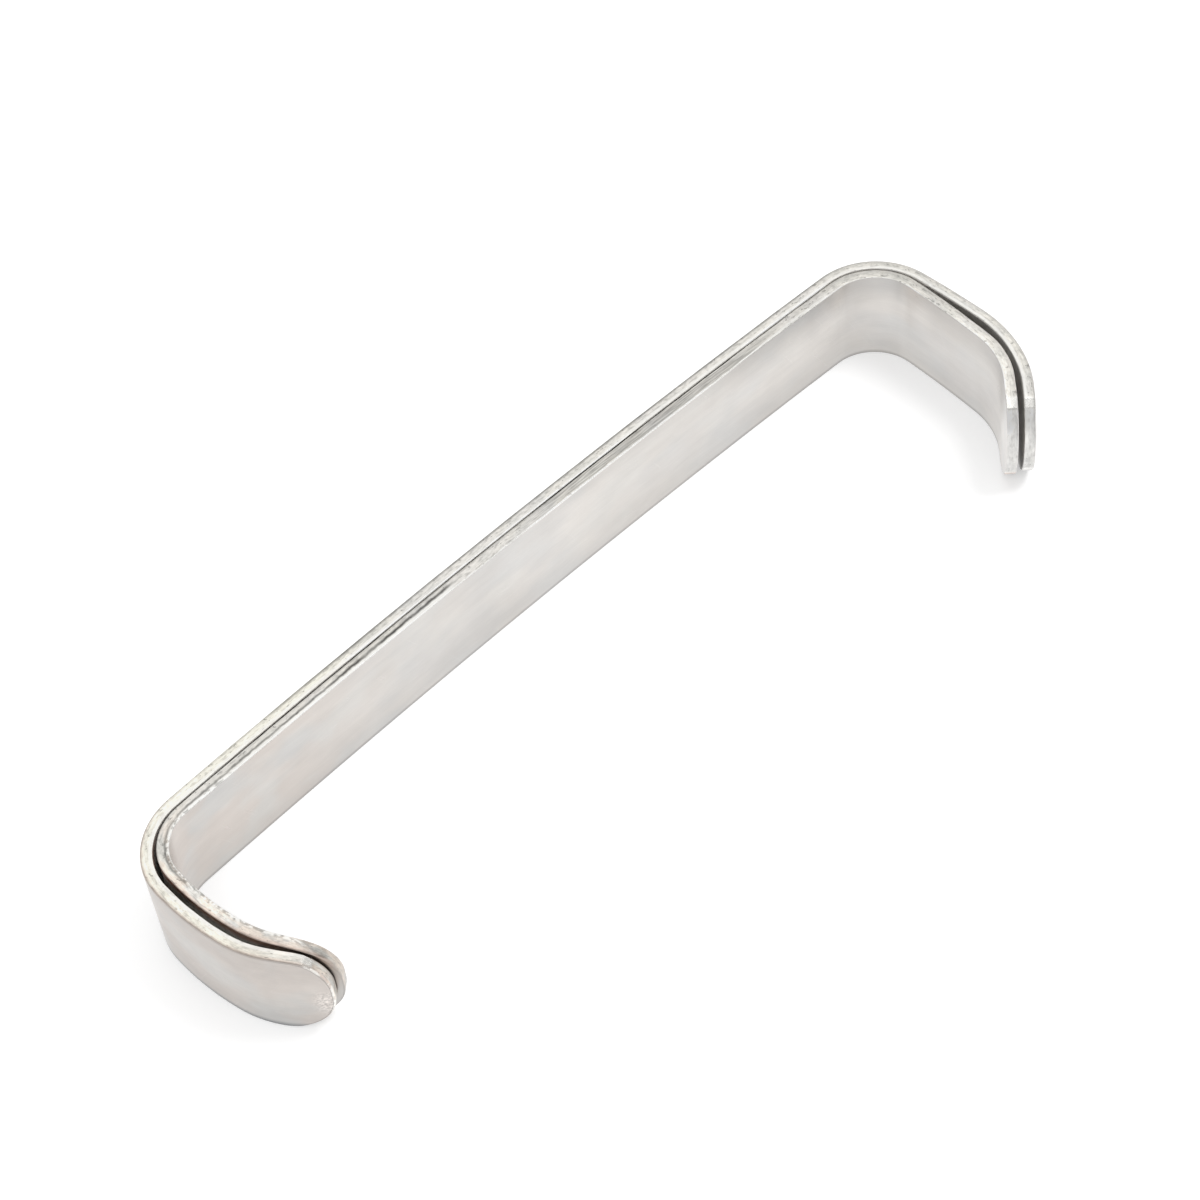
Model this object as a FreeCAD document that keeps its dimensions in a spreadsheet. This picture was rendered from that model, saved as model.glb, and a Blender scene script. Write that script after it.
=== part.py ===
import FreeCAD, Part

import math
import os

import Sketcher

# A nested pair of double-ended hand-held retractors. Each one is a single strip of steel, bent to a
# handle with a blade at both ends, and each blade ends in a lip that curls inwards to a round tip.
# X runs along the handles, the blades point to -Y, and the pair stands on the long edges of its
# strips at z = 0. The origin is on the lower edge of the outer retractor, in the middle of its handle.

# Driving dimensions, in millimetres and degrees
SIZES = {
    # The strip, which is the same for both retractors
    "strip_width": 16.0,
    "plate_thickness": 1.7,
    "tip_flat": 1.6,
    "edge_break": 0.3,
    # The handles, bowed a little, with a seam between them
    "handle_bow_radius": 1650.0,
    "seam_gap": 0.2,
    # Outer retractor, along its middle line from the corner to the tip
    "corner_radius": 10.3,
    "right_reach": 64.3,
    "right_corner_turn": 87.0,
    "right_blade_length": 11.5,
    "right_blade_bow_radius": 200.0,
    "right_lip_radius": 22.0,
    "right_lip_turn": 43.0,
    "right_lip_end": 6.5,
    "left_reach": 64.3,
    "left_corner_turn": 83.0,
    "left_blade_length": 12.0,
    "left_blade_bow_radius": 45.0,
    "left_lip_radius": 17.0,
    "left_lip_turn": 30.0,
    "left_lip_end": 5.0,
    # Inner retractor, as differences from the outer one that it lies in
    "right_blade_gap": 0.3,
    "right_corner_extra_turn": 4.0,
    "right_blade_extra_length": 3.0,
    "right_lip_tighter_by": 5.8,
    "right_lip_extra_turn": -5.0,
    "right_lip_end_extra": 2.0,
    "left_blade_gap": 1.0,
    "left_corner_extra_turn": -1.0,
    "left_blade_extra_length": 0.3,
    "left_lip_tighter_by": -4.5,
    "left_lip_extra_turn": 0.5,
    "left_lip_end_extra": -2.0,
}

# The numbers by which sketch constraints know the points of a curve and the sketch's own axes
START_POINT, END_POINT, CENTRE_POINT = range(1, 4)
X_AXIS, Y_AXIS = range(-1, -3, -1)
ORIGIN = (X_AXIS, START_POINT)

# Formula for the plate's thickness, by which the inner retractor steps in from the outer one
PLATE = "sizes.plate_thickness"


def make_sheet(doc):
    """The spreadsheet of driving dimensions, one named cell for each."""
    sheet = doc.addObject("Spreadsheet::Sheet", "sizes")
    for row, (name, value) in enumerate(SIZES.items(), start=1):
        sheet.set(f"A{row}", name)
        sheet.set(f"B{row}", str(value))
        sheet.setAlias(f"B{row}", name)
    doc.recompute()
    return sheet


def outer_end(side):
    """Formulas for one end of the outer retractor, from the middle of the handle to the tip."""
    return {
        "handle_y": "0",
        "bow_radius": "sizes.handle_bow_radius",
        "reach": f"sizes.{side}_reach",
        "corner_radius": "sizes.corner_radius",
        "corner_turn": f"sizes.{side}_corner_turn",
        "blade_radius": f"sizes.{side}_blade_bow_radius",
        "blade_length": f"sizes.{side}_blade_length",
        "lip_radius": f"sizes.{side}_lip_radius",
        "lip_turn": f"sizes.{side}_lip_turn",
        "lip_end": f"sizes.{side}_lip_end",
    }


def inner_end(side):
    """Formulas for one end of the inner retractor, which follows the outer one at a named clearance."""
    outer = outer_end(side)
    handle_step = f"({PLATE} + sizes.seam_gap)"
    blade_step = f"({PLATE} + sizes.{side}_blade_gap)"
    return {
        "handle_y": f"-{handle_step}",
        "bow_radius": f"{outer['bow_radius']} - {handle_step}",
        "reach": f"{outer['reach']} * (1 - {handle_step} / {outer['bow_radius']})",
        "corner_radius": f"{outer['corner_radius']} - {blade_step}",
        "corner_turn": f"{outer['corner_turn']} + sizes.{side}_corner_extra_turn",
        "blade_radius": f"({outer['blade_radius']} - {blade_step})",
        "blade_length": f"({outer['blade_length']} + sizes.{side}_blade_extra_length)",
        "lip_radius": f"{outer['lip_radius']} - {PLATE} - sizes.{side}_lip_tighter_by",
        "lip_turn": f"{outer['lip_turn']} + sizes.{side}_lip_extra_turn",
        "lip_end": f"{outer['lip_end']} + sizes.{side}_lip_end_extra",
    }


def origin_plane(body, role):
    """The body's own origin plane with this role."""
    return next(plane for plane in body.Origin.OriginFeatures if plane.Role == role)


def add_sketch(body, name, role):
    """An empty sketch on one of the body's origin planes."""
    sketch = body.newObject("Sketcher::SketchObject", name)
    sketch.AttachmentSupport = (origin_plane(body, role), [""])
    sketch.MapMode = "FlatFace"
    return sketch


def bind(sketch, name, formula, *constraint):
    """Adds a dimension to the sketch, under a name and bound to a formula on the sheet."""
    index = sketch.addConstraint(Sketcher.Constraint(*constraint))
    sketch.renameConstraint(index, name)
    sketch.setExpression(f"Constraints.{name}", formula)


def add_path(body, name, side, end):
    """Half of the strip's middle line: the bowed handle, corner, blade and lip, each tangent to the last."""
    sketch = add_sketch(body, name, "XY_Plane")
    value = {key: float(sketch.evalExpression(formula)) for key, formula in end.items()}
    mirror = 1 if side == "right" else -1
    blade_turn = f"{end['blade_length']} / {end['blade_radius']} * 180 / pi"
    bends = [
        ("bow", value["bow_radius"], math.asin(value["reach"] / value["bow_radius"])),
        ("corner", value["corner_radius"], math.radians(value["corner_turn"])),
        ("blade", value["blade_radius"], value["blade_length"] / value["blade_radius"]),
        ("lip", value["lip_radius"], math.radians(value["lip_turn"])),
    ]

    # The curves, drawn where the dimensions put them
    point = FreeCAD.Vector(0, value["handle_y"], 0)
    heading = 0.0
    curves = []
    for _, radius, turn in bends:
        outwards = FreeCAD.Vector(mirror * math.sin(heading), math.cos(heading), 0)
        centre = point - outwards * radius
        first = math.atan2(outwards.y, outwards.x)
        heading += turn
        outwards = FreeCAD.Vector(mirror * math.sin(heading), math.cos(heading), 0)
        point = centre + outwards * radius
        low, high = sorted((first, first - mirror * turn))
        circle = Part.Circle(centre, FreeCAD.Vector(0, 0, 1), radius)
        curves.append(sketch.addGeometry(Part.ArcOfCircle(circle, low, high), False))
    ahead = FreeCAD.Vector(mirror * math.cos(heading), -math.sin(heading), 0)
    tip = point + ahead * value["lip_end"]
    straight = sketch.addGeometry(Part.LineSegment(point, tip), False)

    # An arc runs anticlockwise, so on the right side each one ends where the path enters it
    entry, leave = (END_POINT, START_POINT) if mirror > 0 else (START_POINT, END_POINT)
    bow, corner, blade, lip = curves
    handle_middle = (bow, entry)
    handle_end = (bow, leave)
    sketch.addConstraint(Sketcher.Constraint("PointOnObject", *handle_middle, Y_AXIS))
    sketch.addConstraint(Sketcher.Constraint("PointOnObject", bow, CENTRE_POINT, Y_AXIS))
    if value["handle_y"] == 0:
        sketch.addConstraint(Sketcher.Constraint("PointOnObject", *handle_middle, X_AXIS))
    else:
        bind(sketch, "handle_y", end["handle_y"], "DistanceY", *ORIGIN, *handle_middle, value["handle_y"])
    across = (ORIGIN, handle_end) if mirror > 0 else (handle_end, ORIGIN)
    bind(sketch, "reach", end["reach"], "DistanceX", *across[0], *across[1], value["reach"])
    bind(sketch, "bow_radius", end["bow_radius"], "Radius", bow, value["bow_radius"])
    turns = {"corner": end["corner_turn"], "blade": blade_turn, "lip": end["lip_turn"]}
    before = bow
    for curve, (part, radius, turn) in zip(curves[1:], bends[1:]):
        sketch.addConstraint(Sketcher.Constraint("Tangent", before, leave, curve, entry))
        bind(sketch, f"{part}_radius", end[f"{part}_radius"], "Radius", curve, radius)
        bind(sketch, f"{part}_turn", turns[part], "Angle", curve, turn)
        before = curve
    sketch.addConstraint(Sketcher.Constraint("Tangent", lip, leave, straight, START_POINT))
    bind(sketch, "lip_end", end["lip_end"], "Distance", straight, value["lip_end"])
    return sketch


def add_section(body, name, handle_y):
    """The strip's rectangular section across the middle of the handle, standing on z = 0."""
    sketch = add_sketch(body, name, "YZ_Plane")
    width = float(sketch.evalExpression("sizes.strip_width"))
    half = float(sketch.evalExpression(f"{PLATE} / 2"))
    middle = float(sketch.evalExpression(handle_y))
    corners = [(middle - half, 0), (middle + half, 0), (middle + half, width), (middle - half, width)]
    points = [FreeCAD.Vector(y, z, 0) for y, z in corners]
    sides = zip(points, points[1:] + points[:1])
    loop = [sketch.addGeometry(Part.LineSegment(first, last), False) for first, last in sides]
    bottom, outer_side, top, blade_side = loop
    for line, following in zip(loop, loop[1:] + loop[:1]):
        sketch.addConstraint(Sketcher.Constraint("Coincident", line, END_POINT, following, START_POINT))
    sketch.addConstraint(Sketcher.Constraint("Horizontal", top))
    sketch.addConstraint(Sketcher.Constraint("Vertical", outer_side))
    sketch.addConstraint(Sketcher.Constraint("Vertical", blade_side))
    sketch.addConstraint(Sketcher.Constraint("PointOnObject", bottom, START_POINT, X_AXIS))
    bind(sketch, "thickness", PLATE, "DistanceX", bottom, START_POINT, bottom, END_POINT, 2 * half)
    standing = (outer_side, START_POINT, outer_side, END_POINT)
    bind(sketch, "width", "sizes.strip_width", "DistanceY", *standing, width)
    inset = f"{handle_y} - {PLATE} / 2"
    bind(sketch, "inset", inset, "DistanceX", *ORIGIN, bottom, START_POINT, middle - half)
    return sketch


def same(first, second):
    """Whether two measures of the model agree."""
    return abs(first - second) < FreeCAD.Base.Precision.confusion()


def edge_names(shape, wanted):
    """Names of the shape's edges that pass a test."""
    return [f"Edge{number}" for number, edge in enumerate(shape.Edges, start=1) if wanted(edge)]


def work_edges(body, name, kind, base, edges, measure, formula):
    """Rounds or breaks edges of a feature, to a measure from the sheet."""
    feature = body.newObject(f"PartDesign::{kind}", name)
    feature.Base = (base, edges)
    feature.setExpression(measure, formula)
    body.Document.recompute()
    return feature


def tip_corners(shape, thickness):
    """The four edges through the strip's thickness, two at each tip."""

    def crosses_strip(edge):
        return edge.Curve.TypeId == "Part::GeomLine" and same(edge.Length, thickness)

    return edge_names(shape, crosses_strip)


def long_rims(shape, width):
    """The edges where the strip's narrow upper and lower faces meet its broad faces."""

    def along_rim(edge):
        box = edge.BoundBox
        level = same(box.ZMin, box.ZMax)
        if not level or not (same(box.ZMin, 0) or same(box.ZMin, width)):
            return False
        beside = [face for face in shape.Faces if any(edge.isSame(other) for other in face.Edges)]
        middle = edge.valueAt((edge.FirstParameter + edge.LastParameter) / 2)
        lean = [abs(face.normalAt(*face.Surface.parameter(middle)).z) for face in beside]
        return len(lean) == 2 and same(min(lean), 0)

    return edge_names(shape, along_rim)


def make_retractor(doc, name, end_of):
    """One retractor: its strip swept from the middle of the handle to both tips, which are rounded."""
    body = doc.addObject("PartDesign::Body", name)
    body.Label = name
    section = add_section(body, f"{name}_section", end_of("right")["handle_y"])
    for side in ("right", "left"):
        path = add_path(body, f"{name}_{side}_path", side, end_of(side))
        doc.recompute()
        strip = body.newObject("PartDesign::AdditivePipe", f"{name}_{side}_strip")
        strip.Profile = section
        strip.Spine = (path, [f"Edge{number}" for number in range(1, len(path.Shape.Edges) + 1)])
        strip.Refine = True
        doc.recompute()
    corners = tip_corners(strip.Shape, SIZES["plate_thickness"])
    tip_radius = "(sizes.strip_width - sizes.tip_flat) / 2"
    tips = work_edges(body, f"{name}_tips", "Fillet", strip, corners, "Radius", tip_radius)
    rims = long_rims(tips.Shape, SIZES["strip_width"])
    work_edges(body, f"{name}_broken_edges", "Chamfer", tips, rims, "Size", "sizes.edge_break")
    body.Placement = FreeCAD.Placement()
    return body


def check(doc, parts):
    """Stops if any object failed or a part isn't one valid solid."""
    failed = [item.Name for item in doc.Objects if {"Invalid", "Error"} & set(item.State)]
    if failed:
        raise RuntimeError(f"failed objects: {failed}")
    for part in parts:
        shape = part.Shape
        if shape.isNull() or not shape.isValid() or len(shape.Solids) != 1:
            raise RuntimeError(f"{part.Label} is not one valid solid")


def main():
    doc = FreeCAD.newDocument("nested_retractors")
    make_sheet(doc)
    parts = [
        make_retractor(doc, "outer_retractor", outer_end),
        make_retractor(doc, "inner_retractor", inner_end),
    ]
    doc.recompute()
    check(doc, parts)
    os.makedirs("parts", exist_ok=True)
    for part in parts:
        part.Shape.exportStep(f"parts/{part.Label}.step")
        box = part.Shape.BoundBox
        print(part.Label, f"{part.Shape.Volume:.1f} mm3", box)
    gap = parts[0].Shape.distToShape(parts[1].Shape)[0]
    shared = parts[0].Shape.common(parts[1].Shape).Volume
    print(f"gap between the plates {gap:.3f} mm, shared volume {shared:.3f} mm3")


main()
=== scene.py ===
import math
from collections import namedtuple

import bpy
from mathutils import Matrix, Vector, noise


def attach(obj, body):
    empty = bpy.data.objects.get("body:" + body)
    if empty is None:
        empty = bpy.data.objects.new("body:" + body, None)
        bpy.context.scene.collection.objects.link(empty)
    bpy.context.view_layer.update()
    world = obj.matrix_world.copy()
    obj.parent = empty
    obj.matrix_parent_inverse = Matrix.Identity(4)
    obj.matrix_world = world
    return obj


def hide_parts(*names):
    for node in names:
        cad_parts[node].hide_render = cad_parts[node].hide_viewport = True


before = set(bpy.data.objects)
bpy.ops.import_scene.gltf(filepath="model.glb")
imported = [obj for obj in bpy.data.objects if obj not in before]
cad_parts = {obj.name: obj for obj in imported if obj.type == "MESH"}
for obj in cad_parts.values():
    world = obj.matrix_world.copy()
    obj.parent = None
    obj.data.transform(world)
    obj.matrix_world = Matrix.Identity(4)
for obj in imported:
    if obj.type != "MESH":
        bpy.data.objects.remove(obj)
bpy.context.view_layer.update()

# A nested pair of double-ended hand-held retractors, each bent from one steel strip. The strips are
# made again here with a fine mesh, worn edges and ground tips. The frame's solids have the same
# middle lines.

MM = 0.001

# The strip, which is the same for both retractors
WIDTH = 16.0 * MM
THICKNESS = 1.7 * MM
TIP_RADIUS = 7.2 * MM

# Middle lines of the strips, from the middle of the handle to the tips. The handle is bowed slightly
# as far as REACH. The corner and the lip are given by radius and turn and the blade by radius and
# length, in millimetres and degrees.
BOW_RADIUS = 1650.0 * MM
REACH = 64.3 * MM
NEST_STEP = THICKNESS + 0.2 * MM
OUTER_ENDS = {
    "right": {"corner": (10.3, 87.0), "blade": (200.0, 11.5), "lip": (22.0, 43.0), "straight": 6.5},
    "left": {"corner": (10.3, 83.0), "blade": (45.0, 12.0), "lip": (17.0, 30.0), "straight": 5.0},
}
INNER_ENDS = {
    "right": {"corner": (8.3, 91.0), "blade": (198.0, 14.5), "lip": (14.5, 38.0), "straight": 8.5},
    "left": {"corner": (7.6, 82.0), "blade": (42.3, 12.3), "lip": (19.8, 30.5), "straight": 3.0},
}

# The upper corner of each tip, as it is ground: a first curve, a short flat and a last curve. The
# values are the first curve's radius and turn, the flat's length and slope, the slope where the last
# curve starts, and whether the flat has crisp ends, in millimetres and degrees.
Grind = namedtuple("Grind", "first_radius first_turn flat flat_slope last_start crisp")
OUTER_GRINDS = {
    "left": Grind(10.5, 25.0, 1.25, 40.0, 46.0, True),
    "right": Grind(10.0, 18.0, 1.3, 31.0, 39.0, True),
}
INNER_GRINDS = {
    "left": Grind(10.0, 20.0, 1.3, 27.0, 34.0, False),
    "right": Grind(10.0, 12.0, 1.5, 27.0, 36.0, True),
}

# How finely the strips are divided. SUPPORT is the width of the extra row beside a rounded edge.
ALONG_STEP = 0.5 * MM
FIRST_CURVE_STEPS = 6
FLAT_STEPS = 3
LAST_CURVE_STEPS = 22
TIP_STEPS = FIRST_CURVE_STEPS + FLAT_STEPS + LAST_CURVE_STEPS
ACROSS_STEPS = 14
CORNER_STEPS = 6
SUPPORT = 0.06 * MM


class Strip:
    """A bent strip: its middle line on both sides of the middle of its handle. depth is how far its
    handle lies in from the outer strip's."""

    def __init__(self, ends, depth):
        self.depth = depth
        bow = BOW_RADIUS - depth
        bow_turn = math.asin(REACH / BOW_RADIUS)
        self.sides = {}
        for side, end in ends.items():
            corner_radius, corner_turn = end["corner"]
            blade_radius, blade_length = end["blade"]
            lip_radius, lip_turn = end["lip"]
            self.sides[side] = [
                (bow, bow * bow_turn),
                (corner_radius * MM, corner_radius * MM * math.radians(corner_turn)),
                (blade_radius * MM, blade_length * MM),
                (lip_radius * MM, lip_radius * MM * math.radians(lip_turn)),
                (None, end["straight"] * MM),
            ]

    def length(self, side):
        return sum(length for _, length in self.sides[side])

    def place(self, along, up, out):
        """The point at a distance along the middle line, a height and a distance out from it."""
        side = "right" if along >= 0 else "left"
        left_over = abs(along)
        x, y, heading = 0.0, -self.depth, 0.0
        pieces = self.sides[side]
        for index, (radius, length) in enumerate(pieces):
            last = index == len(pieces) - 1
            run = left_over if last else min(left_over, length)
            if radius is None:
                x += run * math.cos(heading)
                y -= run * math.sin(heading)
            else:
                turned = heading + run / radius
                x += radius * (math.sin(turned) - math.sin(heading))
                y += radius * (math.cos(turned) - math.cos(heading))
                heading = turned
            left_over -= run
            if left_over <= 0:
                break
        x += out * math.sin(heading)
        y += out * math.cos(heading)
        return Vector((x if side == "right" else -x, y, up))


def ground_corner(grind):
    """Points of a tip's ground upper corner, from the long edge to the tip's end, each with its
    distance in from the end and its drop below the long edge."""
    first_turn, flat_slope, last_start = map(
        math.radians, (grind.first_turn, grind.flat_slope, grind.last_start)
    )
    first_radius, flat = grind.first_radius * MM, grind.flat * MM
    first_drop = first_radius * (1 - math.cos(first_turn))
    flat_drop = flat * math.sin(flat_slope)
    last_radius = (TIP_RADIUS - first_drop - flat_drop) / math.cos(last_start)
    flat_end = last_radius * (1 - math.sin(last_start))
    flat_start = flat_end + flat * math.cos(flat_slope)
    start = flat_start + first_radius * math.sin(first_turn)
    points = []
    for step in range(FIRST_CURVE_STEPS):
        slope = first_turn * step / FIRST_CURVE_STEPS
        points.append((start - first_radius * math.sin(slope), first_radius * (1 - math.cos(slope))))
    for step in range(FLAT_STEPS):
        share = step / FLAT_STEPS
        points.append((flat_start + (flat_end - flat_start) * share, first_drop + flat_drop * share))
    for step in range(LAST_CURVE_STEPS + 1):
        slope = last_start + (math.pi / 2 - last_start) * step / LAST_CURVE_STEPS
        points.append((last_radius * (1 - math.sin(slope)), TIP_RADIUS - last_radius * math.cos(slope)))
    return points


def plain_corner():
    """The same for a tip's lower corner, which is one arc."""
    slopes = [math.pi / 2 * step / TIP_STEPS for step in range(TIP_STEPS + 1)]
    return [(TIP_RADIUS * (1 - math.sin(a)), TIP_RADIUS * (1 - math.cos(a))) for a in slopes]


def outline(strip, grinds):
    """The strip's upper and lower long edges laid flat, from the left tip to the right tip."""
    upper_left, upper_right = (ground_corner(grinds[side]) for side in ("left", "right"))
    lower_corner = plain_corner()
    left_end, right_end = -strip.length("left"), strip.length("right")
    upper, lower = [], []
    for (upper_in, upper_drop), (lower_in, lower_rise) in zip(upper_left[::-1], lower_corner[::-1]):
        upper.append((left_end + upper_in, WIDTH - upper_drop))
        lower.append((left_end + lower_in, lower_rise))
    first = max(upper[-1][0], lower[-1][0])
    last = right_end - max(upper_right[0][0], lower_corner[0][0])
    count = round((last - first) / ALONG_STEP)
    for step in range(1, count):
        along = first + (last - first) * step / count
        upper.append((along, WIDTH))
        lower.append((along, 0.0))
    for (upper_in, upper_drop), (lower_in, lower_rise) in zip(upper_right, lower_corner):
        upper.append((right_end - upper_in, WIDTH - upper_drop))
        lower.append((right_end - lower_in, lower_rise))
    return upper, lower


def smooth_step(low, high, value):
    """0 at low and 1 at high, with a smooth step between. low may be the larger one."""
    share = min(1.0, max(0.0, (value - low) / (high - low)))
    return share * share * (3 - 2 * share)


def wander(along, seed, length):
    """A smooth random value between -1 and 1 that changes over a length of the strip."""
    return noise.noise(Vector((along / length, seed, 0.5)))


def mix(first, second, share):
    return first + (second - first) * share


def inward_normals(loop):
    """For each point of a closed flat outline, the direction into it."""
    normals = []
    for index, _ in enumerate(loop):
        before = Vector(loop[index - 1])
        after = Vector(loop[(index + 1) % len(loop)])
        step = (after - before).normalized()
        normals.append(Vector((step.y, -step.x)))
    return normals


def rim_profile(outer_radius, inner_radius):
    """Points round the strip's edge, from its outer face to its inner one: the inset from the outline,
    the place out from the middle line, and how far it is on the ground edge, from 0 to 1."""
    half = THICKNESS / 2

    def rounding(radius, side):
        points = []
        for step in range(CORNER_STEPS + 1):
            angle = math.pi / 2 * step / CORNER_STEPS
            out = side * (half - radius * (1 - math.cos(angle)))
            points.append((radius * (1 - math.sin(angle)), out, step / CORNER_STEPS))
        return points

    flat = [
        (0.0, half - outer_radius - SUPPORT, 1.0),
        (0.0, (inner_radius - outer_radius) / 2, 1.0),
        (0.0, inner_radius + SUPPORT - half, 1.0),
    ]
    return rounding(outer_radius, 1) + flat + rounding(inner_radius, -1)[::-1]


def flat_columns(columns, grinds):
    """The columns on the crisp ground flats of the tips."""
    steps = range(FIRST_CURVE_STEPS, FIRST_CURVE_STEPS + FLAT_STEPS + 1)
    left = [TIP_STEPS - step for step in steps] if grinds["left"].crisp else []
    right = [columns - 1 - TIP_STEPS + step for step in steps] if grinds["right"].crisp else []
    return left + right


class StripMesh:
    """The mesh of a strip: rings of points round its edge, and a grid on each broad face. The outline
    is cut into columns along the strip and rows across it. radii gives the rounding of the strip's
    outer and inner corners at a place along it."""

    def __init__(self, strip, grinds, radii):
        self.strip = strip
        self.verts, self.marks, self.faces = [], [], []
        upper, lower = outline(strip, grinds)
        across = [row / ACROSS_STEPS for row in range(1, ACROSS_STEPS)]
        self.across = [0.0, SUPPORT / WIDTH] + across + [1.0 - SUPPORT / WIDTH, 1.0]
        self.columns, self.rows = len(upper), len(self.across)
        self.flats = flat_columns(self.columns, grinds)
        self.loop = self.closed_loop()
        places = []
        for column, row in self.loop:
            ends = zip(lower[column], upper[column])
            places.append(tuple(mix(low, high, self.across[row]) for low, high in ends))
        self.add_rim(places, radii)
        self.add_broad_face(0, THICKNESS / 2, False)
        self.add_broad_face(-1, -THICKNESS / 2, True)

    def closed_loop(self):
        """Columns and rows of the closed outline, clockwise from the upper left."""
        last_column, last_row = self.columns - 1, self.rows - 1
        loop = [(column, last_row) for column in range(self.columns)]
        loop += [(last_column, row) for row in range(last_row - 1, 0, -1)]
        loop += [(column, 0) for column in range(last_column, -1, -1)]
        loop += [(0, row) for row in range(1, last_row)]
        return loop

    def add(self, along, up, out, rim, end, flat):
        """Adds a point, with the numbers that the materials read there, and gives its index."""
        self.verts.append(self.strip.place(along, up, out))
        self.marks.append(((along, up, out), rim, end, flat))
        return len(self.verts) - 1

    def add_rim(self, places, radii):
        """One ring of points round the edge at each point of the outline, and the faces between."""
        self.rings = []
        for (column, row), (along, up), normal in zip(self.loop, places, inward_normals(places)):
            end = abs(normal.x)
            flat = 1.0 if row == self.rows - 1 and column in self.flats else 0.0
            ring = []
            for inset, out, rim in rim_profile(*radii(along)):
                ring.append(self.add(along + normal.x * inset, up + normal.y * inset, out, rim, end, flat))
            self.rings.append(ring)
        for ring, following in zip(self.rings, self.rings[1:] + self.rings[:1]):
            for step in range(len(ring) - 1):
                self.faces.append((ring[step], following[step], following[step + 1], ring[step + 1]))

    def add_broad_face(self, ring_step, out, flip):
        """A grid inside the rings' first points or their last."""
        border = {place: ring[ring_step] for place, ring in zip(self.loop, self.rings)}
        grid = []
        for column in range(self.columns):
            low = self.marks[border[column, 0]][0]
            high = self.marks[border[column, self.rows - 1]][0]
            line = []
            for row, share in enumerate(self.across):
                if (column, row) in border:
                    line.append(border[column, row])
                else:
                    along, up = mix(low[0], high[0], share), mix(low[1], high[1], share)
                    line.append(self.add(along, up, out, 0.0, 0.0, 0.0))
            grid.append(line)
        for left, right in zip(grid, grid[1:]):
            for row in range(self.rows - 1):
                face = (left[row], right[row], right[row + 1], left[row + 1])
                self.faces.append(face if flip else face[::-1])

    def mark_creases(self, mesh):
        """Keeps the ends of each crisp flat sharp."""
        creased = self.flats[::FLAT_STEPS + 1] + self.flats[FLAT_STEPS::FLAT_STEPS + 1]
        rings = [self.rings[column] for column in creased]
        pairs = {frozenset(pair) for ring in rings for pair in zip(ring, ring[1:])}
        sharp = mesh.attributes.new("sharp_edge", "BOOLEAN", "EDGE")
        for edge in mesh.edges:
            sharp.data[edge.index].value = frozenset(edge.vertices) in pairs

    def make_object(self, name):
        mesh = bpy.data.meshes.new(name)
        mesh.from_pydata(self.verts, [], self.faces)
        mesh.update()
        mesh.shade_smooth()
        places, *numbers = zip(*self.marks)
        layer = mesh.attributes.new("strip_place", "FLOAT_VECTOR", "POINT")
        layer.data.foreach_set("vector", [value for place in places for value in place])
        for kind, values in zip(("rim", "end", "tip_flat"), numbers):
            layer = mesh.attributes.new(kind, "FLOAT", "POINT")
            layer.data.foreach_set("value", values)
        self.mark_creases(mesh)
        piece = bpy.data.objects.new(name, mesh)
        bpy.context.scene.collection.objects.link(piece)
        return piece


def outer_radii(along):
    """Rounding of the outer strip's outer and inner corners at a place along it. It is worn unevenly,
    rounder outside and sharper inside on the left blade, and sharper inside along the middle."""
    blade = smooth_step(-60 * MM, -72 * MM, along)
    tight = smooth_step(-36 * MM, -22 * MM, along) * smooth_step(34 * MM, 20 * MM, along)
    return (
        (0.24 + 0.05 * wander(along, 3.0, 6 * MM) + 0.08 * blade) * MM,
        (0.24 + 0.09 * wander(along, 7.0, 3 * MM) - 0.12 * blade - 0.08 * tight) * MM,
    )


def inner_radii(along):
    """The same for the inner strip, which is worn unevenly but alike all along."""
    return (
        (0.16 + 0.07 * wander(along, 11.0, 2.5 * MM)) * MM,
        (0.13 + 0.03 * wander(along, 13.0, 5 * MM)) * MM,
    )


outer_strip = Strip(OUTER_ENDS, 0.0)
inner_strip = Strip(INNER_ENDS, NEST_STEP)
outer = StripMesh(outer_strip, OUTER_GRINDS, outer_radii).make_object("outer_strip")
inner = StripMesh(inner_strip, INNER_GRINDS, inner_radii).make_object("inner_strip")


def add_node(tree, kind, **settings):
    """Adds a node with its settings."""
    node = tree.nodes.new(kind)
    for key, value in settings.items():
        setattr(node, key, value)
    return node


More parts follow.
